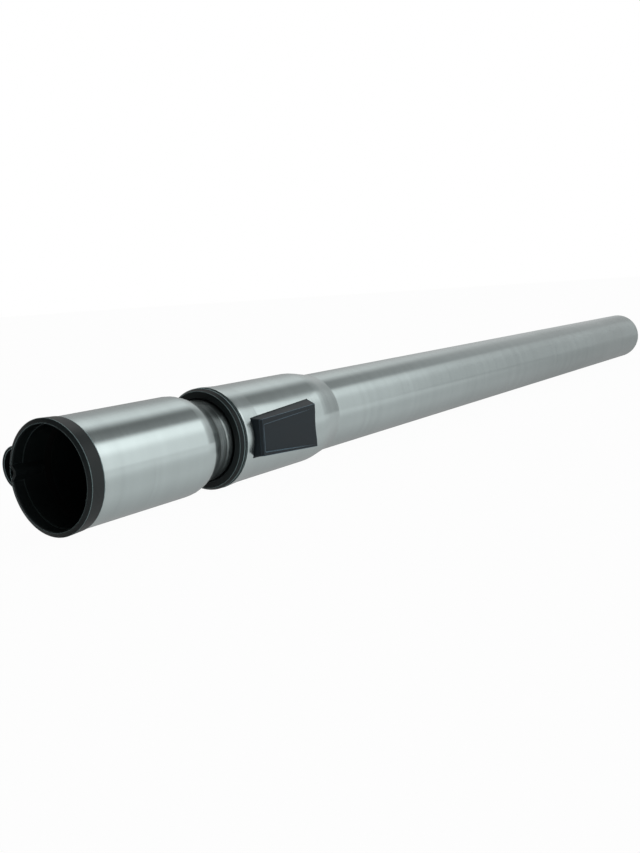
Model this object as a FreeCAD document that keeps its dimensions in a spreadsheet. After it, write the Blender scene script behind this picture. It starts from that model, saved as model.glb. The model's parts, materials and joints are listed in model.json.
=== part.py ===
import FreeCAD, Part

import os
import re

import Sketcher

# Telescopic vacuum wand for 35 mm fittings, drawn pushed together and lying on its side.
# X runs along the wand, from the centre of the socket's mouth at the origin to the plain spigot.
# +Z is up, and the lock button looks along -Y.
# "Height" below always means a distance from the axis towards -Y, the button's side.

# Driving sizes in millimetres
SIZES = {
    # Steel and running fits
    "steel_wall": 0.6,
    "running_gap": 0.08,
    "key_gap": 0.12,
    # Plain spigot, and the space between it and the tube that slides in it
    "spigot_diameter": 35.0,
    "slide_space": 0.9,
    # Upper tube: socket, neck and sliding inner length
    "socket_length": 53.5,
    "socket_neck": 9.5,
    "neck_round": 14.0,
    # Groove and lock notches, as depths below the inner length's surface
    "groove_depth": 1.4,
    "groove_width": 9.0,
    "groove_lead": 1.0,
    "notch_depth": 2.5,
    "notch_length": 6.0,
    "notch_width": 8.0,
    "notch_pitch": 25.0,
    "click_count": 15,
    # Socket collar
    "collar_band": 6.65,
    "collar_front_rise": 0.55,
    "collar_back_rise": 0.25,
    "collar_groove": 0.35,
    "lip_flat": 0.5,
    "lip_slope": 0.75,
    "mouth_step": 0.3,
    "mouth_depth": 4.5,
    "socket_fit": 0.1,
    "liner_wall": 1.1,
    "socket_depth": 50.0,
    "stop_height": 0.8,
    "stop_width": 2.0,
    "rib_length": 12.0,
    "rib_height": 1.7,
    "rib_lift": 0.95,
    "rib_half_width": 3.6,
    "rib_crest_half_width": 0.7,
    "rib_wall": 1.1,
    "rib_sink": 0.6,
    "ear_radius": 7.65,
    "ear_drop": 1.1,
    "ear_lift": 2.4,
    "ear_wall": 0.9,
    "ear_setback": 1.4,
    "ear_pocket": 3.4,
    "socket_seal_start": 13.5,
    "socket_seal_width": 3.0,
    "socket_seal_depth": 0.6,
    # Tail bush and seal at the inner end of the upper tube
    "tail_length": 24.0,
    "tail_lip": 1.5,
    "tail_lip_depth": 0.5,
    "tail_seal_offset": 13.0,
    "tail_seal_width": 3.0,
    "tail_seal_depth": 0.45,
    "tail_lug_radius": 2.5,
    "tail_lug_offset": 6.0,
    # Lower tube
    "head_space": 3.1,
    "bead_rise": 0.5,
    "bead_length": 1.0,
    "bead_run_out": 9.0,
    "head_length": 56.2,
    "head_neck": 12.9,
    "head_round": 30.0,
    "lower_length": 537.3,
    "spigot_edge": 0.45,
    # Head ring and wiper
    "ring_gap": 6.05,
    "ring_band": 3.4,
    "ring_rise": 0.4,
    "ring_slope": 1.0,
    "ring_groove_width": 1.6,
    "ring_groove_depth": 0.35,
    "ring_clearance": 0.6,
    "ring_face": 1.6,
    "ring_skirt": 3.1,
    "ring_skirt_wall": 0.5,
    "wiper_width": 2.1,
    # Guide sleeve
    "sleeve_fit": 0.05,
    "sleeve_relief": 0.42,
    "sleeve_tail_gap": 3.0,
    "slot_lead": 1.7,
    "slot_tail": 4.6,
    "slot_half_width": 10.5,
    "stop_gap": 0.5,
    # Lock frame, with heights above the inner length's surface
    "saddle_gap": 0.25,
    "saddle_wall": 0.6,
    "saddle_side_gap": 0.36,
    "cheek_inside": 5.2,
    "cheek_wall": 1.4,
    "cheek_half_length": 2.7,
    "cheek_rise": 4.7,
    "cheek_sink": 0.5,
    "nub_radius": 1.3,
    "nub_rise": 1.9,
    # Rocker button, its window and its pivot, with heights above the inner length's surface
    "window_offset": 4.5,
    "window_gap": 0.3,
    "button_offset": 4.3,
    "button_low_drop": 1.0,
    "button_high_rise": 10.0,
    "button_lean": 2.2,
    "button_near_half_low": 7.89,
    "button_near_half_high": 6.83,
    "button_far_half_low": 10.05,
    "button_far_half_high": 9.1,
    "button_length": 40.9,
    "button_corner": 0.8,
    "button_edge": 0.8,
    "face_near_rise": 6.7,
    "face_near_run": 1.5,
    "ridge_run": 35.1,
    "ridge_rise": 8.95,
    "slope_run": 39.05,
    "slope_hollow": 0.4,
    "slope_hollow_radius": 40.0,
    "far_hollow": 1.4,
    "far_hollow_radius": 16.1,
    "skirt_gap": 0.5,
    "button_wall": 1.3,
    "roof": 1.4,
    "panel_depth": 0.6,
    "panel_upper_margin": 1.9,
    "panel_lower_margin": 1.1,
    "panel_near": 0.7,
    "panel_far": 0.6,
    "pivot_run": 22.3,
    "pivot_rise": 2.9,
    "pivot_radius": 1.0,
    "pivot_gap": 0.05,
    # Lever, pawl and spring under the button
    "hub_radius": 1.8,
    "hub_flare": 2.4,
    "lever_half_width": 5.0,
    "lever_near": 19.0,
    "lever_rise": 2.3,
    "lever_far": 10.8,
    "lever_far_rise": 4.6,
    "pawl_arm": 16.5,
    "pawl_half_length": 2.0,
    "pawl_half_width": 3.2,
    "pawl_reach": 1.15,
    "pawl_tip_chamfer": 0.4,
    "pawl_slot_gap": 1.6,
    "stem_half_length": 1.4,
    "stem_rise": 4.4,
    "spring_arm": 8.4,
    "spring_radius": 2.1,
    "spring_wire": 0.45,
    "spring_pitch": 0.95,
    "spring_clearance": 0.06,
}

# Sizes that follow from the driving ones
RULES = {
    "spigot_radius": "spigot_diameter / 2",
    "spigot_inside": "spigot_radius - steel_wall",
    "inner_radius": "spigot_inside - slide_space",
    "groove_floor": "inner_radius - groove_depth",
    "notch_floor": "inner_radius - notch_depth",
    "bore_radius": "spigot_radius + socket_fit",
    "mouth_radius": "bore_radius + mouth_step",
    "socket_inside": "bore_radius + liner_wall",
    "socket_radius": "socket_inside + steel_wall",
    "collar_radius": "socket_radius + collar_back_rise",
    "collar_front_radius": "socket_radius + collar_front_rise",
    "stop_radius": "bore_radius - stop_height",
    "rib_crest": "bore_radius - rib_height",
    "ear_centre": "bore_radius - ear_drop",
    "neck_start": "collar_band + socket_length",
    "neck_end": "neck_start + socket_neck",
    "ring_front": "neck_end + ring_gap",
    "ring_radius": "head_radius + ring_rise",
    "ring_back": "ring_front + ring_face",
    "steel_start": "ring_front + ring_band",
    "head_inside": "inner_radius + head_space",
    "head_radius": "head_inside + steel_wall",
    "bead_radius": "head_radius + bead_rise",
    "head_end": "steel_start + head_length",
    "head_neck_end": "head_end + head_neck",
    "far_end": "steel_start + lower_length",
    "sleeve_radius": "head_inside - sleeve_fit",
    "sleeve_bore": "inner_radius + running_gap",
    "sleeve_start": "ring_back + wiper_width",
    "sleeve_end": "head_end - sleeve_tail_gap",
    "skirt_end": "steel_start + ring_skirt",
    "skirt_inside": "sleeve_radius - ring_skirt_wall",
    "slot_start": "steel_start + slot_lead",
    "slot_end": "sleeve_end - slot_tail",
    "key_height": "groove_floor + key_gap",
    "travel": "click_count * notch_pitch",
    "tail_start": "sleeve_end + travel + stop_gap",
    "tail_end": "tail_start + tail_length",
    "tail_radius": "spigot_inside - running_gap",
    "groove_start": "ring_front + groove_lead",
    "saddle_bottom": "inner_radius + saddle_gap",
    "saddle_top": "saddle_bottom + saddle_wall",
    "saddle_spread": "2 * asin((slot_half_width - saddle_side_gap) / saddle_top)",
    "cheek_top": "inner_radius + cheek_rise",
    "cheek_foot": "inner_radius - cheek_sink",
    "nub_height": "inner_radius + nub_rise",
    "button_start": "steel_start + button_offset",
    "button_end": "button_start + button_length",
    "button_low": "inner_radius - button_low_drop",
    "button_high": "inner_radius + button_high_rise",
    "face_near_height": "inner_radius + face_near_rise",
    "face_near_x": "button_start + face_near_run",
    "ridge_height": "inner_radius + ridge_rise",
    "ridge_x": "button_start + ridge_run",
    "face_rise": "(ridge_height - face_near_height) / (ridge_x - face_near_x)",
    "slope_end_x": "button_start + slope_run",
    "slope_lean": "(slope_end_x - ridge_x) / (ridge_height - head_radius)",
    "hollow_x": "slope_end_x - far_hollow + far_hollow_radius",
    "skirt_radius": "head_inside - skirt_gap",
    "pivot_x": "button_start + pivot_run",
    "pivot_height": "inner_radius + pivot_rise",
    "lever_foot": "inner_radius + lever_rise",
    "lever_far_foot": "inner_radius + lever_far_rise",
    "stem_top": "inner_radius + stem_rise",
    "pawl_x": "pivot_x - pawl_arm",
    "pawl_tip": "inner_radius - pawl_reach",
    "spring_x": "pivot_x + spring_arm",
}

doc = FreeCAD.newDocument("telescopic_wand")


def make_sheet():
    """Put every driving size into the sheet, one named cell each."""
    cells = doc.addObject("Spreadsheet::Sheet", "Sizes")
    for row, (name, size) in enumerate(SIZES.items(), start=1):
        cells.set(f"A{row}", name)
        cells.set(f"B{row}", str(size))
        cells.setAlias(f"B{row}", name)
    doc.recompute()
    return cells


sheet = make_sheet()


def spelled(text):
    """Write an expression of size and rule names with the sheet's own cells."""
    def word(match):
        name = match.group(0)
        if name in RULES:
            return "(" + spelled(RULES[name]) + ")"
        if name in SIZES:
            return "Sizes." + name
        return name
    return re.sub(r"[a-z][a-z_]*", word, str(text))


def value(text):
    """Number that an expression has now."""
    answer = sheet.evalExpression(spelled(text))
    return float(getattr(answer, "Value", answer))


def bind(item, prop, text):
    item.setExpression(prop, spelled(text))


# Sketches and solids in bodies

def new_body(name):
    return doc.addObject("PartDesign::Body", name)


def new_sketch(body, name, plane, offset="0"):
    """Sketch on one of the body's origin planes, moved along the plane's normal."""
    sketch = body.newObject("Sketcher::SketchObject", name)
    origin_plane = [item for item in body.Origin.OriginFeatures if item.Role == plane][0]
    sketch.AttachmentSupport = [(origin_plane, "")]
    sketch.MapMode = "FlatFace"
    bind(sketch, "AttachmentOffset.Base.z", offset)
    return sketch


def pin_point(sketch, geometry, position, point):
    """Hold one point of a sketch at two expressions from the sketch's origin."""
    for kind, text in zip(("DistanceX", "DistanceY"), point):
        index = sketch.addConstraint(
            Sketcher.Constraint(kind, -1, 1, geometry, position, value(text)))
        sketch.setExpression(f"Constraints[{index}]", spelled(text))


def outline(body, name, plane, points, offset="0"):
    """Closed outline of straight lines whose corners are pairs of expressions."""
    sketch = new_sketch(body, name, plane, offset)
    corners = [FreeCAD.Vector(value(a), value(b), 0) for a, b in points]
    count = len(corners)
    for index in range(count):
        line = Part.LineSegment(corners[index], corners[(index + 1) % count])
        sketch.addGeometry(line, False)
    for index in range(count):
        sketch.addConstraint(Sketcher.Constraint("Coincident", index, 2, (index + 1) % count, 1))
    for index, point in enumerate(points):
        pin_point(sketch, index, 1, point)
    return sketch


def ring_outline(body, name, plane, centre, radius, offset="0"):
    """Circle whose centre and radius are expressions."""
    sketch = new_sketch(body, name, plane, offset)
    middle = FreeCAD.Vector(value(centre[0]), value(centre[1]), 0)
    sketch.addGeometry(Part.Circle(middle, FreeCAD.Vector(0, 0, 1), value(radius)), False)
    pin_point(sketch, 0, 3, centre)
    index = sketch.addConstraint(Sketcher.Constraint("Radius", 0, value(radius)))
    sketch.setExpression(f"Constraints[{index}]", spelled(radius))
    return sketch


def rectangle(low_a, high_a, low_b, high_b):
    return [(low_a, low_b), (high_a, low_b), (high_a, high_b), (low_a, high_b)]


def revolve(body, sketch, angle="360", midplane=False, reverse=False):
    turn = body.newObject("PartDesign::Revolution", sketch.Name + "_turn")
    turn.Profile = sketch
    turn.ReferenceAxis = (sketch, ["H_Axis"])
    turn.Midplane = midplane
    turn.Reversed = reverse
    bind(turn, "Angle", angle)
    return turn


def turned(name, points):
    """Body turned about the wand's axis from an outline of (station, radius) corners."""
    body = new_body(name)
    revolve(body, outline(body, name + "_profile", "XY_Plane", points))
    return body


def pad(body, sketch, length, midplane=False, reverse=False):
    feature = body.newObject("PartDesign::Pad", sketch.Name + "_pad")
    feature.Profile = sketch
    feature.Midplane = midplane
    feature.Reversed = reverse
    bind(feature, "Length", length)
    return feature


def pocket(body, sketch, length, midplane=False, reverse=False):
    """Cut that has to take material away, checked by volume."""
    doc.recompute()
    before = body.Shape.Volume
    feature = body.newObject("PartDesign::Pocket", sketch.Name + "_cut")
    feature.Profile = sketch
    feature.Midplane = midplane
    feature.Reversed = reverse
    bind(feature, "Length", length)
    doc.recompute()
    if body.Shape.Volume >= before:
        raise RuntimeError(sketch.Name + " cuts nothing")
    return feature


def prism(name, plane, points, length, offset="0", midplane=False):
    """Body with one straight pad of an outline."""
    body = new_body(name)
    pad(body, outline(body, name + "_plan", plane, points, offset), length, midplane)
    return body


def round_rings(body, places, radius):
    """Round the circular edges of a turned body that lie at given stations and radii."""
    doc.recompute()
    picked = []
    for number, edge in enumerate(body.Shape.Edges, start=1):
        if not isinstance(edge.Curve, Part.Circle):
            continue
        for station, ring_radius in places:
            at_station = abs(edge.Curve.Center.x - value(station)) < 0.01
            if at_station and abs(edge.Curve.Radius - value(ring_radius)) < 0.01:
                picked.append(f"Edge{number}")
    base = body.Tip
    feature = body.newObject("PartDesign::Fillet", body.Name + "_round")
    feature.Base = (base, picked)
    bind(feature, "Radius", radius)
    return feature


# Boolean pieces and primitives

def rod(name, radius, length, x="0", y="0", z="0", along="x"):
    """Cylinder along one axis, from the given point."""
    item = doc.addObject("Part::Cylinder", name)
    spin = {"x": FreeCAD.Rotation(FreeCAD.Vector(0, 1, 0), 90),
            "y": FreeCAD.Rotation(FreeCAD.Vector(1, 0, 0), -90),
            "z": FreeCAD.Rotation()}[along]
    item.Placement = FreeCAD.Placement(FreeCAD.Vector(), spin)
    bind(item, "Radius", radius)
    bind(item, "Height", length)
    bind(item, "Placement.Base.x", x)
    bind(item, "Placement.Base.y", y)
    bind(item, "Placement.Base.z", z)
    return item


def cut(name, base, tool):
    item = doc.addObject("Part::Cut", name)
    item.Base = base
    item.Tool = tool
    return item


def fuse(name, shapes):
    item = doc.addObject("Part::MultiFuse", name)
    item.Shapes = shapes
    return item


def common(name, shapes):
    item = doc.addObject("Part::MultiCommon", name)
    item.Shapes = shapes
    return item


# Upper tube: socket, neck and inner length with a guide groove and a row of lock notches

def upper_form(name, skin, front, back):
    """Solid form of the upper tube's outside, or of its hollow where skin is the steel's wall."""
    body = turned(name, [
        (front, "0"),
        (front, f"socket_radius - {skin}"),
        ("neck_start", f"socket_radius - {skin}"),
        ("neck_end", f"inner_radius - {skin}"),
        (back, f"inner_radius - {skin}"),
        (back, "0"),
    ])
    round_rings(body, [("neck_start", f"socket_radius - {skin}"),
                       ("neck_end", f"inner_radius - {skin}")], "neck_round")
    groove = outline(body, name + "_groove", "XZ_Plane", rectangle(
        f"groove_start - {skin}", "tail_start - stop_gap",
        f"-groove_width / 2 - {skin}", f"groove_width / 2 + {skin}"), f"groove_floor - {skin}")
    pocket(body, groove, "inner_radius", reverse=True)
    notch = outline(body, name + "_notch", "XZ_Plane", rectangle(
        f"pawl_x - notch_length / 2 - {skin}", f"pawl_x + notch_length / 2 + {skin}",
        f"-notch_width / 2 - {skin}", f"notch_width / 2 + {skin}"), f"notch_floor - {skin}")
    first_notch = pocket(body, notch, "inner_radius", reverse=True)
    row = body.newObject("PartDesign::LinearPattern", name + "_notch_row")
    row.Originals = [first_notch]
    row.Direction = (notch, ["H_Axis"])
    bind(row, "Length", "travel")
    bind(row, "Occurrences", "click_count + 1")
    body.Tip = row
    return body


def make_upper_tube():
    outside = upper_form("upper_outside", "0", "collar_band", "tail_end - tail_lip")
    lug_hole = ring_outline(outside, "tail_lug_hole", "XY_Plane",
                            ("tail_start + tail_lug_offset", "0"), "tail_lug_radius")
    pocket(outside, lug_hole, "2 * inner_radius + 2", midplane=True)
    inside = upper_form("upper_inside", "steel_wall", "collar_band - 1", "tail_end")
    return cut("upper_tube", outside, inside)


# Socket collar: front band, liner inside the steel, key rib and hollow ear

def collar_rib(name, skin, start, end):
    """Prism of the key rib, or of the valley behind it where skin is the rib's wall."""
    points = [
        (f"socket_inside - rib_sink + {skin}", f"rib_lift - rib_half_width + {skin} / 2"),
        (f"rib_crest + {skin}", f"rib_lift - rib_crest_half_width + {skin} / 4"),
        (f"rib_crest + {skin}", f"rib_lift + rib_crest_half_width - {skin} / 4"),
        (f"socket_inside - rib_sink + {skin}", f"rib_lift + rib_half_width - {skin} / 2"),
    ]
    return prism(name, "YZ_Plane", points, f"{end} - {start}", start)


def make_socket_collar():
    shell = turned("collar_shell", [
        ("0", "mouth_radius + lip_flat / 2"),
        ("0", "mouth_radius + lip_flat"),
        ("lip_slope", "collar_front_radius"),
        ("collar_band - collar_groove", "collar_radius"),
        ("collar_band - collar_groove", "socket_radius - collar_groove"),
        ("collar_band", "socket_radius - collar_groove"),
        ("collar_band", "socket_inside"),
        ("socket_depth + stop_width", "socket_inside"),
        ("socket_depth + stop_width", "stop_radius"),
        ("socket_depth", "stop_radius"),
        ("socket_depth", "bore_radius"),
        ("socket_seal_start + socket_seal_width", "bore_radius"),
        ("socket_seal_start + socket_seal_width", "bore_radius + socket_seal_depth"),
        ("socket_seal_start", "bore_radius + socket_seal_depth"),
        ("socket_seal_start", "bore_radius"),
        ("mouth_depth", "bore_radius"),
        ("mouth_depth", "mouth_radius"),
        ("lip_flat", "mouth_radius"),
    ])
    ear = rod("ear_outside", "ear_radius", "collar_band - ear_setback",
              x="ear_setback", y="ear_centre", z="ear_lift")
    ear_core = rod("ear_core", "collar_radius - 0.2", "collar_band")
    ear_shell = cut("ear_shell", ear, ear_core)
    rib = collar_rib("key_rib", "0", "0", "rib_length")
    whole = fuse("collar_whole", [shell, ear_shell, rib])
    hollow = rod("ear_hollow", "ear_radius - ear_wall", "ear_pocket + 1",
                 x="ear_setback - 1", y="ear_centre", z="ear_lift")
    hollow_core = rod("ear_hollow_core", "collar_radius - 0.1", "collar_band")
    ear_pocket = cut("ear_pocket_tool", hollow, hollow_core)
    valley = collar_rib("rib_valley", "rib_wall", "-1", "ear_setback + ear_pocket")
    return cut("socket_collar", whole, fuse("collar_tools", [ear_pocket, valley]))


def make_socket_seal():
    """Soft ring in the liner's groove, flush with the bore."""
    return turned("socket_seal", rectangle(
        "socket_seal_start", "socket_seal_start + socket_seal_width",
        "bore_radius", "bore_radius + socket_seal_depth"))


# Tail bush in two half shells, and its seal

def make_tail_shell(name, lower):
    body = new_body(name)
    seal_start = "tail_start + tail_seal_offset"
    profile = outline(body, name + "_profile", "XY_Plane", [
        ("tail_start", "inner_radius"),
        ("tail_start", "tail_radius"),
        (seal_start, "tail_radius"),
        (seal_start, "tail_radius - tail_seal_depth"),
        (seal_start + " + tail_seal_width", "tail_radius - tail_seal_depth"),
        (seal_start + " + tail_seal_width", "tail_radius"),
        ("tail_end", "tail_radius"),
        ("tail_end", "inner_radius - tail_lip_depth"),
        ("tail_end - tail_lip", "inner_radius - tail_lip_depth"),
        ("tail_end - tail_lip", "inner_radius"),
    ])
    revolve(body, profile, "180", reverse=lower)
    side = "-" if lower else ""
    lug = ring_outline(body, name + "_lug", "XY_Plane", ("tail_start + tail_lug_offset", "0"),
                       "tail_lug_radius", f"{side}(inner_radius - steel_wall)")
    pad(body, lug, "steel_wall + tail_seal_depth / 2", reverse=lower)
    return body


def make_tail_seal():
    return turned("tail_seal", rectangle(
        "tail_start + tail_seal_offset", "tail_start + tail_seal_offset + tail_seal_width",
        "tail_radius - tail_seal_depth", "tail_radius + running_gap / 2"))


# Lower tube: flared head with the button's window, neck and plain spigot

def lower_form(name, skin, front, back):
    body = turned(name, [
        (front, "0"),
        (front, f"bead_radius - {skin}"),
        ("steel_start + bead_length", f"bead_radius - {skin}"),
        ("steel_start + bead_length + bead_run_out", f"head_radius - {skin}"),
        ("head_end", f"head_radius - {skin}"),
        ("head_neck_end", f"spigot_radius - {skin}"),
        (back, f"spigot_radius - {skin}"),
        (back, "0"),
    ])
    round_rings(body, [("head_end", f"head_radius - {skin}")], "head_round")
    return body


def make_window():
    """Hole for the button, with its concave far end."""
    near_half = "((button_near_half_low * 2 + button_near_half_high) / 3 + window_gap)"
    far_half = "((button_far_half_low * 2 + button_far_half_high) / 3 + window_gap)"
    block = prism("window_block", "XZ_Plane", [
        ("steel_start + window_offset", f"-{near_half}"),
        ("button_end + window_gap", f"-{far_half}"),
        ("button_end + window_gap", far_half),
        ("steel_start + window_offset", near_half),
    ], "bead_radius", "head_inside / 2")
    end = rod("window_end", "far_hollow_radius - window_gap", "2 * bead_radius",
              x="hollow_x", y="-2 * bead_radius", along="y")
    return cut("window_tool", block, end)


def make_lower_tube():
    outside = lower_form("lower_outside", "0", "steel_start", "far_end")
    round_rings(outside, [("far_end", "spigot_radius")], "spigot_edge")
    inside = lower_form("lower_inside", "steel_wall", "steel_start - 1", "far_end + 1")
    return cut("lower_tube", outside, fuse("lower_tools", [inside, make_window()]))


# Black ring on the head's edge, with the wiper behind its face

def make_head_ring():
    return turned("head_ring", [
        ("ring_front", "inner_radius + ring_clearance"),
        ("ring_front", "ring_radius - ring_slope"),
        ("steel_start - ring_groove_width", "ring_radius"),
        ("steel_start - ring_groove_width", "ring_radius - ring_groove_depth"),
        ("steel_start", "ring_radius - ring_groove_depth"),
        ("steel_start", "sleeve_radius"),
        ("skirt_end", "sleeve_radius"),
        ("skirt_end", "skirt_inside"),
        ("ring_back", "skirt_inside"),
        ("ring_back", "inner_radius + ring_clearance"),
    ])


def add_key(body, name, start, end):
    """Tongue on a bore that runs in the upper tube's groove and keeps it from turning."""
    plan = outline(body, name, "XZ_Plane", rectangle(
        start, end, "-groove_width / 2 + key_gap", "groove_width / 2 - key_gap"), "key_height")
    pad(body, plan, "inner_radius + running_gap + 0.2 - key_height")


def make_wiper_ring():
    """Felt ring between the head ring's face and the guide sleeve."""
    body = turned("wiper_ring", rectangle(
        "ring_back", "sleeve_start", "inner_radius + running_gap", "skirt_inside"))
    add_key(body, "wiper_tongue", "ring_back", "sleeve_start")
    return body


# Guide sleeve: long plain bush inside the head, open under the button

def make_guide_sleeve():
    body = turned("guide_sleeve", [
        ("sleeve_start", "sleeve_bore"),
        ("sleeve_start", "skirt_inside"),
        ("skirt_end", "skirt_inside"),
        ("skirt_end", "sleeve_radius"),
        ("sleeve_end", "sleeve_radius"),
        ("sleeve_end", "sleeve_bore"),
        ("slot_end", "sleeve_bore"),
        ("slot_end", "sleeve_bore + sleeve_relief"),
        ("slot_start", "sleeve_bore + sleeve_relief"),
        ("slot_start", "sleeve_bore"),
    ])
    slot = outline(body, "sleeve_slot", "XZ_Plane", rectangle(
        "slot_start", "slot_end", "-slot_half_width", "slot_half_width"), "inner_radius / 2")
    pocket(body, slot, "head_radius", reverse=True)
    add_key(body, "front_key", "sleeve_start", "slot_start")
    add_key(body, "rear_key", "slot_end", "sleeve_end")
    return body


# Lock frame: thin saddle over the inner tube, with two cheeks for the pivot pin

def make_lock_frame():
    body = new_body("lock_frame")
    saddle = outline(body, "saddle", "XY_Plane", rectangle(
        "slot_start", "slot_end", "-saddle_top", "-saddle_bottom"))
    revolve(body, saddle, "saddle_spread", midplane=True)
    for name, side in (("upper_cheek", ""), ("lower_cheek", "-")):
        foot = outline(body, name, "XZ_Plane", rectangle(
            "pivot_x - cheek_half_length", "pivot_x + cheek_half_length",
            f"{side}cheek_inside", f"{side}(cheek_inside + cheek_wall)"), "cheek_foot")
        pad(body, foot, "cheek_top - cheek_foot")
    nub = ring_outline(body, "spring_nub", "XZ_Plane", ("spring_x", "0"), "nub_radius",
                       "(saddle_bottom + saddle_top) / 2")
    pad(body, nub, "nub_height - (saddle_bottom + saddle_top) / 2")
    slot = outline(body, "pawl_slot", "XZ_Plane", rectangle(
        "pawl_x - pawl_half_length - pawl_slot_gap", "pawl_x + pawl_half_length + pawl_slot_gap",
        "-pawl_half_width - pawl_slot_gap / 2", "pawl_half_width + pawl_slot_gap / 2"),
        "saddle_bottom / 2")
    pocket(body, slot, "saddle_top", reverse=True)
    bore = ring_outline(body, "cheek_bore", "XY_Plane", ("pivot_x", "-pivot_height"),
                        "pivot_radius")
    pocket(body, bore, "4 * (cheek_inside + cheek_wall)", midplane=True)
    return body


def make_pivot_pin():
    half = "(cheek_inside + cheek_wall)"
    return rod("pivot_pin", "pivot_radius", f"2 * {half}",
               x="pivot_x", y="-pivot_height", z=f"-{half}", along="z")


def make_button_spring():
    """Coil between the saddle and the lever's far arm."""
    body = new_body("button_spring")
    bind(body, "Placement.Base.x", "spring_x")
    bind(body, "Placement.Base.y", "-saddle_top - spring_clearance - spring_wire / 2")
    wire = ring_outline(body, "spring_section", "XY_Plane",
                        ("spring_radius", "0"), "spring_wire / 2")
    coil = body.newObject("PartDesign::AdditiveHelix", "spring_coil")
    coil.Profile = wire
    coil.ReferenceAxis = (wire, ["V_Axis"])
    coil.Mode = 0
    coil.Reversed = True
    bind(coil, "Pitch", "spring_pitch")
    bind(coil, "Height",
         "lever_far_foot - saddle_top - 2 * spring_clearance - spring_wire")
    return body


# Rocker: button cap, lever and steel pawl

def button_form(name, skin, drop):
    """Solid form of the button, or of its hollow where skin and drop are its walls."""
    body = new_body(name)
    near_x = f"button_start + {skin}"
    far_x = f"button_end - {skin}"
    levels = []
    for level, lean in (("low", "0"), ("high", "button_lean")):
        near_half = f"(button_near_half_{level} - {skin})"
        far_half = f"(button_far_half_{level} - {skin})"
        levels.append(outline(body, f"{name}_{level}", "XZ_Plane", [
            (f"{near_x} + {lean}", f"-{near_half}"),
            (far_x, f"-{far_half}"),
            (far_x, far_half),
            (f"{near_x} + {lean}", near_half),
        ], f"button_{level}"))
    loft = body.newObject("PartDesign::AdditiveLoft", name + "_loft")
    loft.Profile = levels[0]
    loft.Sections = [levels[1]]
    loft.Ruled = True
    round_corners(body, loft)
    side = prism(name + "_side", "XY_Plane", [
        ("button_start - 3", "0"),
        ("button_start - 3", f"-(face_near_height - button_edge - 3 - face_near_run - {drop})"),
        ("face_near_x + button_edge", f"-({face_height('face_near_x + button_edge')} - {drop})"),
        ("ridge_x", f"-(ridge_height - {drop})"),
        ("ridge_x + (ridge_height - button_low) * slope_lean", f"-(button_low - {drop})"),
        ("ridge_x + (ridge_height - button_low) * slope_lean", "0"),
    ], "4 * button_far_half_low", midplane=True)
    block = common(name + "_block", [body, side])
    end = rod(name + "_end", f"far_hollow_radius + {skin}", "2 * bead_radius",
              x="hollow_x", y="-2 * bead_radius", along="y")
    return cut(name + "_form", block, fuse(name + "_tools", [end, slope_tool(name, skin)]))


def round_corners(body, loft):
    """Round the four upright edges of a loft."""
    doc.recompute()
    upright = []
    for number, edge in enumerate(loft.Shape.Edges, start=1):
        if edge.BoundBox.YLength > value("button_high - button_low") / 2:
            upright.append(f"Edge{number}")
    feature = body.newObject("PartDesign::Fillet", body.Name + "_corners")
    feature.Base = (loft, upright)
    bind(feature, "Radius", "button_corner")


def slope_tool(name, skin):
    """Leaning round bar that hollows the button's far slope."""
    body = new_body(name + "_slope")
    rings = []
    for level in ("low", "high"):
        middle = (f"ridge_x + (ridge_height - button_{level}) * slope_lean"
                  " - slope_hollow + slope_hollow_radius")
        rings.append(ring_outline(body, f"{name}_slope_{level}", "XZ_Plane", (middle, "0"),
                                  f"slope_hollow_radius + {skin}", f"button_{level}"))
    loft = body.newObject("PartDesign::AdditiveLoft", name + "_slope_loft")
    loft.Profile = rings[0]
    loft.Sections = [rings[1]]
    loft.Ruled = True
    return body


def face_height(x):
    """Height of the button's face over a station short of the ridge."""
    return f"(face_near_height + face_rise * ({x} - face_near_x))"


def make_rocker_button():
    outside = button_form("button_outside", "0", "0")
    inside = button_form("button_inside", "button_wall", "roof")
    foot = rod("button_foot", "skirt_radius", "2 * button_length", x="button_start - 20")
    panel_start = "face_near_x + button_edge + panel_near"
    panel_end = "(ridge_x - panel_far)"
    panel_plan = prism("panel_plan", "XZ_Plane", [
        (panel_start, "panel_lower_margin - button_near_half_high"),
        ("ridge_x", "panel_lower_margin - button_far_half_high"),
        ("ridge_x", "button_far_half_high - panel_upper_margin"),
        (panel_start, "button_near_half_high - panel_upper_margin"),
    ], "button_high - button_low", "button_low")
    panel_side = prism("panel_side", "XY_Plane", [
        ("face_near_x", "-(face_near_height - panel_depth)"),
        (panel_end, f"-{face_height(panel_end)}"),
        (panel_end, "-button_high"),
        ("face_near_x", "-button_high"),
    ], "4 * button_far_half_low", midplane=True)
    panel = common("panel_tool", [panel_plan, panel_side])
    return cut("rocker_button", outside, fuse("button_tools", [inside, foot, panel]))


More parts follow.
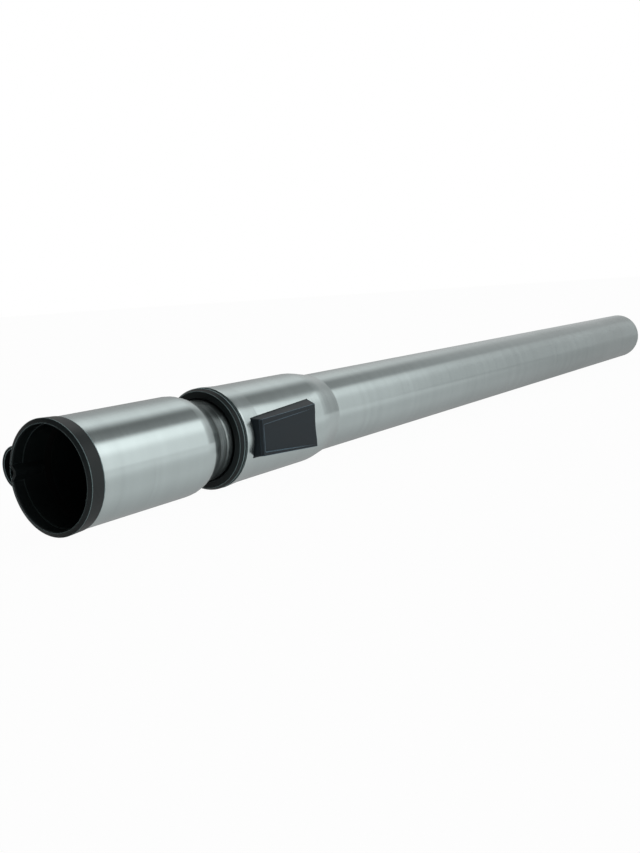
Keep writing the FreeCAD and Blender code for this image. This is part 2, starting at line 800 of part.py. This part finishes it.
def make_rocker_lever():
    body = new_body("rocker_lever")
    near = "(pivot_x - lever_near)"
    far = "(pivot_x + lever_far)"
    side = outline(body, "lever_side", "XY_Plane", [
        (near, "-lever_foot"),
        ("pivot_x + hub_radius", "-lever_foot"),
        ("pivot_x + hub_radius + hub_flare", "-lever_far_foot"),
        (far, "-lever_far_foot"),
        (far, f"-({face_height(far)} - roof)"),
        (near, f"-({face_height(near)} - roof)"),
    ])
    pad(body, side, "2 * lever_half_width", midplane=True)
    hub = ring_outline(body, "lever_hub", "XY_Plane", ("pivot_x", "-pivot_height"), "hub_radius")
    pad(body, hub, "2 * lever_half_width", midplane=True)
    bore = ring_outline(body, "lever_bore", "XY_Plane", ("pivot_x", "-pivot_height"),
                        "pivot_radius + pivot_gap")
    pocket(body, bore, "4 * lever_half_width", midplane=True)
    stem = outline(body, "stem_hole", "XZ_Plane", rectangle(
        "pawl_x - stem_half_length", "pawl_x + stem_half_length",
        "-pawl_half_width", "pawl_half_width"), "stem_top")
    pocket(body, stem, "stem_top - lever_foot + 1")
    return body


def make_lock_pawl():
    """Steel tooth that drops into the notches, with its stem in the lever."""
    body = new_body("lock_pawl")
    side = outline(body, "pawl_side", "XY_Plane", [
        ("pawl_x - pawl_half_length", "-lever_foot"),
        ("pawl_x - stem_half_length", "-lever_foot"),
        ("pawl_x - stem_half_length", "-stem_top"),
        ("pawl_x + stem_half_length", "-stem_top"),
        ("pawl_x + stem_half_length", "-lever_foot"),
        ("pawl_x + pawl_half_length", "-lever_foot"),
        ("pawl_x + pawl_half_length", "-pawl_tip - pawl_tip_chamfer"),
        ("pawl_x + pawl_half_length - pawl_tip_chamfer", "-pawl_tip"),
        ("pawl_x - pawl_half_length + pawl_tip_chamfer", "-pawl_tip"),
        ("pawl_x - pawl_half_length", "-pawl_tip - pawl_tip_chamfer"),
    ])
    pad(body, side, "2 * pawl_half_width", midplane=True)
    return body


def make_parts():
    return {
        "upper_tube": make_upper_tube(),
        "socket_collar": make_socket_collar(),
        "socket_seal": make_socket_seal(),
        "tail_shell_upper": make_tail_shell("tail_shell_upper", False),
        "tail_shell_lower": make_tail_shell("tail_shell_lower", True),
        "tail_seal": make_tail_seal(),
        "lower_tube": make_lower_tube(),
        "head_ring": make_head_ring(),
        "wiper_ring": make_wiper_ring(),
        "guide_sleeve": make_guide_sleeve(),
        "lock_frame": make_lock_frame(),
        "pivot_pin": make_pivot_pin(),
        "button_spring": make_button_spring(),
        "rocker_lever": make_rocker_lever(),
        "lock_pawl": make_lock_pawl(),
        "rocker_button": make_rocker_button(),
    }


def check(parts):
    """Stop where an object failed or a sub-part is empty or broken."""
    for item in doc.Objects:
        if "Invalid" in item.State or "Error" in item.State:
            raise RuntimeError(item.Name + " failed")
    for name, item in parts.items():
        if item.Shape.isNull() or not item.Shape.isValid() or not item.Shape.Solids:
            raise RuntimeError(name + " has no sound shape")


parts = make_parts()
for node, part in parts.items():
    part.Label = node
doc.recompute()
check(parts)
os.makedirs("parts", exist_ok=True)
for node, part in parts.items():
    part.Shape.exportStep(f"parts/{node}.step")
    box = part.Shape.BoundBox
    print(f"{node}: {len(part.Shape.Solids)} solid, {part.Shape.Volume:.0f} mm3, "
          f"x {box.XMin:.2f} to {box.XMax:.2f}, y {box.YMin:.2f} to {box.YMax:.2f}, "
          f"z {box.ZMin:.2f} to {box.ZMax:.2f}")
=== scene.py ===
import json
import math

import bpy
from mathutils import Matrix, Vector


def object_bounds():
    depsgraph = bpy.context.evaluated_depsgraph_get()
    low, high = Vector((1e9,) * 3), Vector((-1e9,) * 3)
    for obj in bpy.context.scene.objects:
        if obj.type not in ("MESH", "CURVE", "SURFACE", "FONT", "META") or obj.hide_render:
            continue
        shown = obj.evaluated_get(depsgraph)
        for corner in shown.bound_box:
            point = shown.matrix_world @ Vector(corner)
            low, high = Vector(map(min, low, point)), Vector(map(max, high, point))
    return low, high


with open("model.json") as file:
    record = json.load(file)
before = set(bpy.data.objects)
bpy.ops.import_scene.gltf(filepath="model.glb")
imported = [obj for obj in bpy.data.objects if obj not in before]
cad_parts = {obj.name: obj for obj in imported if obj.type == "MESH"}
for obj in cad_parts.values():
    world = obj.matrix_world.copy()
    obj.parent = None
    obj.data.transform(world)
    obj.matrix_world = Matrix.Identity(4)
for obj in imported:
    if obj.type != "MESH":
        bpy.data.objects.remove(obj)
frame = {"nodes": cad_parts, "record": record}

cad_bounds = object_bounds()
nodes = frame["nodes"]
FLOOR_Z = cad_bounds[0][2]


# Node helpers

def new_material(name):
    """Material with one principled shader, and its node tree."""
    material = bpy.data.materials.new(name)
    material.use_nodes = True
    tree = material.node_tree
    tree.nodes.clear()
    output = tree.nodes.new("ShaderNodeOutputMaterial")
    shader = tree.nodes.new("ShaderNodeBsdfPrincipled")
    tree.links.new(shader.outputs["BSDF"], output.inputs["Surface"])
    return material, tree, shader


def add_node(tree, kind, links=None, **settings):
    """Node with its settings, and its inputs set to a value or linked to a socket."""
    node = tree.nodes.new(kind)
    for key, setting in settings.items():
        setattr(node, key, setting)
    for key, source in (links or {}).items():
        if isinstance(source, bpy.types.NodeSocket):
            tree.links.new(source, node.inputs[key])
        else:
            node.inputs[key].default_value = source
    return node


def math_node(tree, operation, first, second=0.0):
    return add_node(tree, "ShaderNodeMath", {0: first, 1: second}, operation=operation).outputs[0]


def place(tree, scale):
    """Coordinates in the object's own frame, in metres, times a scale for each axis."""
    coordinates = add_node(tree, "ShaderNodeTexCoord").outputs["Object"]
    return add_node(tree, "ShaderNodeMapping", {"Vector": coordinates, "Scale": scale}).outputs[0]


def noise(tree, scale, detail=2.0, roughness=0.5):
    vector = place(tree, scale)
    return add_node(tree, "ShaderNodeTexNoise", {
        "Vector": vector, "Scale": 1.0, "Detail": detail, "Roughness": roughness}).outputs["Fac"]


def spread(tree, source, low, high, start=0.3, end=0.7):
    """Noise stretched to run from low to high."""
    return add_node(tree, "ShaderNodeMapRange", {
        "Value": source, "From Min": start, "From Max": end,
        "To Min": low, "To Max": high}).outputs["Result"]


def tint(tree, shader, color, source, dark, light):
    """Base colour that varies in brightness with a noise."""
    shade(tree, shader, color, spread(tree, source, dark, light))


def shade(tree, shader, color, level):
    """Base colour times a level."""
    mix = add_node(tree, "ShaderNodeVectorMath", {0: color}, operation="SCALE")
    tree.links.new(level, mix.inputs["Scale"])
    tree.links.new(mix.outputs[0], shader.inputs["Base Color"])


def bump(tree, shader, layers):
    """Bumps from several noises, each with its height in metres."""
    normal = None
    for source, height in layers:
        links = {"Height": source, "Strength": 1.0, "Distance": height}
        if normal is not None:
            links["Normal"] = normal
        normal = add_node(tree, "ShaderNodeBump", links).outputs["Normal"]
    tree.links.new(normal, shader.inputs["Normal"])


def blended(tree, source, start, end, before, after):
    """Value that goes smoothly from one level to another as the source rises."""
    share = add_node(tree, "ShaderNodeMapRange", {
        "Value": source, "From Min": start, "From Max": end}, interpolation_type="SMOOTHSTEP")
    return add_node(tree, "ShaderNodeMix", {
        0: share.outputs["Result"], 2: before, 3: after}, data_type="FLOAT").outputs[0]


# Materials

PLASTIC_SPECULAR = 0.24
STEEL_ANISOTROPY = 0.8

# Share of the colour and of the painted edge highlight that is left inside the mouth; the colour's loss
# there is painted shade
BORE_PAINTED_SHADE = 0.85
BORE_EDGE_HIGHLIGHT = 0.1
MOUTH_RADIUS = 0.01805
RADIUS_BLUR = 0.0002

# An edge gets a painted highlight over this radius, between these likenesses of its rounded and its flat
# normal
EDGE_RADIUS = 0.0005
FULL_HIGHLIGHT_LIKENESS = 0.85
NO_HIGHLIGHT_LIKENESS = 0.985


def brushed_steel(name, color, roughness):
    """Steel ground round the tube: fine rings across the length, stretched reflections along it."""
    material, tree, shader = new_material(name)
    rings = noise(tree, (2600.0, 22.0, 22.0), 3.0)
    bands = noise(tree, (160.0, 9.0, 9.0), 2.0)
    smudges = noise(tree, (14.0, 45.0, 45.0), 3.0)
    blend = math_node(tree, "ADD", math_node(tree, "MULTIPLY", rings, 0.4),
                      math_node(tree, "MULTIPLY", bands, 0.6))
    tint(tree, shader, color, blend, 0.95, 1.05)
    rough = math_node(tree, "ADD", spread(tree, rings, -0.03, 0.03),
                      spread(tree, smudges, roughness - 0.03, roughness + 0.04))
    tree.links.new(rough, shader.inputs["Roughness"])
    bump(tree, shader, [(rings, 0.000004), (bands, 0.00001)])
    shader.inputs["Metallic"].default_value = 1.0
    shader.inputs["Anisotropic"].default_value = STEEL_ANISOTROPY
    shader.inputs["Anisotropic Rotation"].default_value = 0.25
    tangent = add_node(tree, "ShaderNodeTangent", direction_type="RADIAL", axis="X")
    tree.links.new(tangent.outputs[0], shader.inputs["Tangent"])
    return material


def by_radius(tree, radius, inner, outer):
    """Value that steps from inner to outer at a radius round the wand's axis."""
    across = place(tree, (0.0, 1.0, 1.0))
    length = add_node(tree, "ShaderNodeVectorMath", {0: across}, operation="LENGTH")
    return spread(tree, length.outputs["Value"], inner, outer,
                  radius - RADIUS_BLUR, radius + RADIUS_BLUR)


def painted_edge_highlight(tree, gain, bore):
    """Painted highlight: a level that rises from one where a face meets another at a sharp edge, little
    in a bore.
    """
    rounded = add_node(tree, "ShaderNodeBevel", {"Radius": EDGE_RADIUS}, samples=8).outputs["Normal"]
    face = add_node(tree, "ShaderNodeNewGeometry").outputs["Normal"]
    likeness = add_node(tree, "ShaderNodeVectorMath", {0: rounded, 1: face},
                        operation="DOT_PRODUCT").outputs["Value"]
    most = gain if bore is None else by_radius(tree, bore, gain * BORE_EDGE_HIGHLIGHT, gain)
    return spread(tree, likeness, most, 1.0, FULL_HIGHLIGHT_LIKENESS, NO_HIGHLIGHT_LIKENESS)


def moulded_plastic(name, color, roughness, grain=0.00001, bore=None, edge_highlight_gain=1.0):
    """Moulded plastic with an eroded grain and faint flow marks, with painted highlights on its sharp
    edges and painted shade in its bore.
    """
    material, tree, shader = new_material(name)
    fine = noise(tree, (2800.0, 2800.0, 2800.0), 2.0)
    flow = noise(tree, (60.0, 160.0, 160.0), 3.0)
    level = spread(tree, flow, 0.9, 1.12)
    # Painted shade: the colour is darker inside the mouth's bore
    if bore is not None:
        level = math_node(tree, "MULTIPLY", level, by_radius(tree, bore, BORE_PAINTED_SHADE, 1.0))
    # Painted highlight on sharp edges, multiplied into the colour
    if edge_highlight_gain > 1.0:
        level = math_node(tree, "MULTIPLY", level, painted_edge_highlight(tree, edge_highlight_gain, bore))
    shade(tree, shader, color, level)
    shader.inputs["Specular IOR Level"].default_value = PLASTIC_SPECULAR
    tree.links.new(spread(tree, flow, roughness - 0.04, roughness + 0.05),
                   shader.inputs["Roughness"])
    bump(tree, shader, [(fine, grain)])
    return material


def felt(name, color):
    material, tree, shader = new_material(name)
    fibre = noise(tree, (900.0, 2400.0, 2400.0), 4.0, 0.7)
    tint(tree, shader, color, fibre, 0.6, 1.5)
    shader.inputs["Roughness"].default_value = 0.95
    shader.inputs["Sheen Weight"].default_value = 0.3
    bump(tree, shader, [(fibre, 0.0002)])
    return material


def drawn_steel(name, color):
    material, tree, shader = new_material(name)
    draw = noise(tree, (400.0, 400.0, 3000.0), 3.0)
    tint(tree, shader, color, draw, 0.88, 1.1)
    tree.links.new(spread(tree, draw, 0.24, 0.38), shader.inputs["Roughness"])
    shader.inputs["Metallic"].default_value = 1.0
    bump(tree, shader, [(draw, 0.000006)])
    return material


MATERIALS = {
    "tube_steel": brushed_steel("tube_steel", (0.467, 0.535, 0.532), 0.18),
    # The black and the button plastic get painted edge highlights, at the gains given last
    "black_plastic": moulded_plastic("black_plastic", (0.015, 0.021, 0.0215), 0.42,
                                     bore=MOUTH_RADIUS, edge_highlight_gain=26.0),
    "button_plastic": moulded_plastic("button_plastic", (0.0165, 0.0258, 0.0322), 0.5, 0.000006,
                                      edge_highlight_gain=10.0),
    "slide_plastic": moulded_plastic("slide_plastic", (0.03, 0.031, 0.033), 0.4),
    "seal_rubber": moulded_plastic("seal_rubber", (0.012, 0.0124, 0.0126), 0.7),
    "felt": felt("felt", (0.05, 0.05, 0.052)),
    "small_steel": drawn_steel("small_steel", (0.5, 0.51, 0.52)),
}


def dress(node, slot):
    materials = nodes[node].data.materials
    materials.clear()
    materials.append(MATERIALS[slot])


for entry in frame["record"]["subparts"]:
    dress(entry["node"], entry["material_slot"])


SHARP_ANGLE = math.radians(35.0)
EDGE_SEGMENTS = 3


def soften(node, width):
    """Rounds the sharp edges of a CAD piece."""
    piece = nodes[node]
    modifier = piece.modifiers.new("edge_round", "BEVEL")
    modifier.width = width
    modifier.segments = EDGE_SEGMENTS
    modifier.limit_method = "ANGLE"
    modifier.angle_limit = SHARP_ANGLE


soften("rocker_button", 0.0003)
soften("socket_collar", 0.00012)
soften("head_ring", 0.00012)


# Stage: floor, studio dome and camera

# Painted reflection: brightness that reflections see in the floor, beside the socket and beside the
# spigot, lower under the wand as its painted shadow
FLOOR_FRONT = (0.97, 0.45)
FLOOR_NEAR = (0.74, 0.44)
FLOOR_UNDER = (0.39, 0.37)
FLOOR_BEHIND = (0.36, 0.56)

# Where these levels change across the wand, and how far along it the second level is reached
NEAR_EDGE = -0.03
FRONT_EDGE = (-0.12, -0.04)
BEHIND_EDGE = 0.12
SECOND_LEVEL_AT = 0.55
SLANT = 1.5
CAMERA_WHITE = 0.97


def painted_floor_reflection(tree):
    """Painted reflection: brightness of the floor in reflections, by the place across and along the
    wand, lower under it as its painted shadow.
    """
    position = add_node(tree, "ShaderNodeNewGeometry").outputs["Position"]
    parts = add_node(tree, "ShaderNodeSeparateXYZ", {0: position})
    across = parts.outputs["Y"]
    aside = math_node(tree, "MULTIPLY", math_node(tree, "ABSOLUTE", across), SLANT)
    beyond = math_node(tree, "SUBTRACT", parts.outputs["X"], aside)

    def along(levels):
        return blended(tree, beyond, 0.0, SECOND_LEVEL_AT, *levels)

    beside = blended(tree, across, NEAR_EDGE, 0.0, along(FLOOR_NEAR), along(FLOOR_UNDER))
    front = blended(tree, across, *FRONT_EDGE, along(FLOOR_FRONT), beside)
    return blended(tree, across, 0.0, BEHIND_EDGE, front, along(FLOOR_BEHIND))


def white_for_camera(tree, lit):
    """Shader that the camera sees as nearly white, with some of the object's shadow, and that
    reflections see as the painted floor reflection.
    """
    path = add_node(tree, "ShaderNodeLightPath")
    direct = math_node(tree, "MAXIMUM", path.outputs["Is Camera Ray"],
                       path.outputs["Is Transmission Ray"])
    white = add_node(tree, "ShaderNodeEmission", {"Color": (1, 1, 1, 1), "Strength": 1.0})
    seen = add_node(tree, "ShaderNodeMixShader", {
        0: math_node(tree, "MULTIPLY", direct, CAMERA_WHITE), 1: lit, 2: white.outputs[0]})
    # Painted reflection: glossy rays see the floor at painted levels
    gloss = add_node(tree, "ShaderNodeEmission", {"Color": (1, 1, 1, 1), "Strength": painted_floor_reflection(tree)})
    return add_node(tree, "ShaderNodeMixShader", {
        0: path.outputs["Is Glossy Ray"], 1: seen.outputs[0], 2: gloss.outputs[0]}).outputs[0]


def stage_material(name, color):
    material = bpy.data.materials.new(name)
    material.use_nodes = True
    tree = material.node_tree
    tree.nodes.clear()
    output = tree.nodes.new("ShaderNodeOutputMaterial")
    lit = add_node(tree, "ShaderNodeBsdfDiffuse", {"Color": color})
    tree.links.new(white_for_camera(tree, lit.outputs[0]), output.inputs["Surface"])
    return material


def stage_plane(name, corners, material):
    mesh = bpy.data.meshes.new(name)
    mesh.from_pydata(corners, [], [(0, 1, 2, 3)])
    mesh.materials.append(material)
    plane = bpy.data.objects.new(name, mesh)
    bpy.context.scene.collection.objects.link(plane)


REACH = 12.0
studio_white = stage_material("studio_white", (0.85, 0.85, 0.85, 1.0))
stage_plane("floor", [(-REACH, -REACH, FLOOR_Z), (REACH, -REACH, FLOOR_Z),
                      (REACH, REACH, FLOOR_Z), (-REACH, REACH, FLOOR_Z)], studio_white)

# Dome of soft light: strength by the angle round the wand, from the front over the top to the back
DOME = [
    (-20.0, 1.2),
    (20.0, 1.23),
    (38.0, 1.73),
    (48.0, 1.66),
    (62.0, 0.3),
    (81.0, 0.22),
    (106.0, 1.12),
    (118.0, 0.97),
    (128.0, 0.74),
    (138.0, 0.54),
    (150.0, 0.47),
    (165.0, 0.42),
    (180.0, 0.38),
]
# The same for light from the spigot's end, which the long tube reflects
FAR_DOME = [
    (-20.0, 0.46),
    (20.0, 0.46),
    (60.0, 0.5),
    (90.0, 0.55),
    (130.0, 0.62),
    (155.0, 0.59),
    (180.0, 0.57),
]
MOUTH_LEVEL = 0.1
DOME_TWIST = 0.23

# Directions along the wand between which the dome's light turns and changes
TWIST_FROM = 0.69
FAR_BLEND = (0.7, 0.95)
MOUTH_BLEND = (-0.6, 0.3)
BRIGHTEST = 2.0


def dome_ramp(tree, around, stops):
    """Brightness by the share of a turn round the wand."""
    ramp = add_node(tree, "ShaderNodeValToRGB", {"Fac": around})
    ramp.color_ramp.interpolation = "EASE"
    elements = ramp.color_ramp.elements
    elements.remove(elements[1])
    elements[0].position = 0.0
    for degrees, level in stops:
        share = level / BRIGHTEST
        elements.new(degrees / 360 + 0.5).color = (share, share, share, 1.0)
    elements.remove(elements[0])
    return math_node(tree, "MULTIPLY", ramp.outputs["Color"], BRIGHTEST)


def make_world():
    world = bpy.data.worlds.new("studio")
    bpy.context.scene.world = world
    world.use_nodes = True
    tree = world.node_tree
    tree.nodes.clear()
    output = tree.nodes.new("ShaderNodeOutputWorld")
    direction = add_node(tree, "ShaderNodeTexCoord").outputs["Generated"]
    parts = add_node(tree, "ShaderNodeSeparateXYZ", {0: direction})
    front = math_node(tree, "MULTIPLY", parts.outputs["Y"], -1.0)
    angle = math_node(tree, "ARCTAN2", parts.outputs["Z"], front)
    along = parts.outputs["X"]
    turn = math_node(tree, "MULTIPLY", math_node(
        tree, "MAXIMUM", math_node(tree, "SUBTRACT", along, TWIST_FROM), 0.0), DOME_TWIST)
    around = math_node(tree, "ADD", math_node(tree, "SUBTRACT", math_node(
        tree, "DIVIDE", angle, 2 * math.pi), turn), 0.5)
    sides = blended(tree, along, *FAR_BLEND, dome_ramp(tree, around, DOME),
                    dome_ramp(tree, around, FAR_DOME))
    level = blended(tree, along, *MOUTH_BLEND, MOUTH_LEVEL, sides)
    white = (1.0, 1.0, 1.0, 1.0)
    studio = add_node(tree, "ShaderNodeBackground", {"Color": white, "Strength": level})
    path = add_node(tree, "ShaderNodeLightPath")
    seen = math_node(tree, "MAXIMUM", path.outputs["Is Camera Ray"], path.outputs["Is Transmission Ray"])
    plain = add_node(tree, "ShaderNodeBackground", {"Color": white, "Strength": 1.0})
    mix = add_node(tree, "ShaderNodeMixShader", {0: seen, 1: studio.outputs[0], 2: plain.outputs[0]})
    tree.links.new(mix.outputs[0], output.inputs["Surface"])


make_world()

CAMERA_AT = Vector((-0.1998, -0.2441, 0.0541))
CAMERA_RIGHT = Vector((0.55491, -0.82935, -0.06527))
CAMERA_UP = Vector((0.15301, 0.02463, 0.98792))
FOCAL_PIXELS = 949.8
IMAGE_HEIGHT = 853


def make_camera():
    data = bpy.data.cameras.new("camera")
    data.sensor_fit = "VERTICAL"
    data.sensor_height = 24.0
    data.lens = FOCAL_PIXELS * data.sensor_height / IMAGE_HEIGHT
    data.clip_start = 0.01
    camera = bpy.data.objects.new("camera", data)
    bpy.context.scene.collection.objects.link(camera)
    back = CAMERA_RIGHT.cross(CAMERA_UP)
    turn = Matrix((CAMERA_RIGHT, CAMERA_UP, back)).transposed()
    camera.matrix_world = Matrix.Translation(CAMERA_AT) @ turn.to_4x4()
    bpy.context.scene.camera = camera


make_camera()

bpy.context.scene.view_settings.view_transform = "Standard"
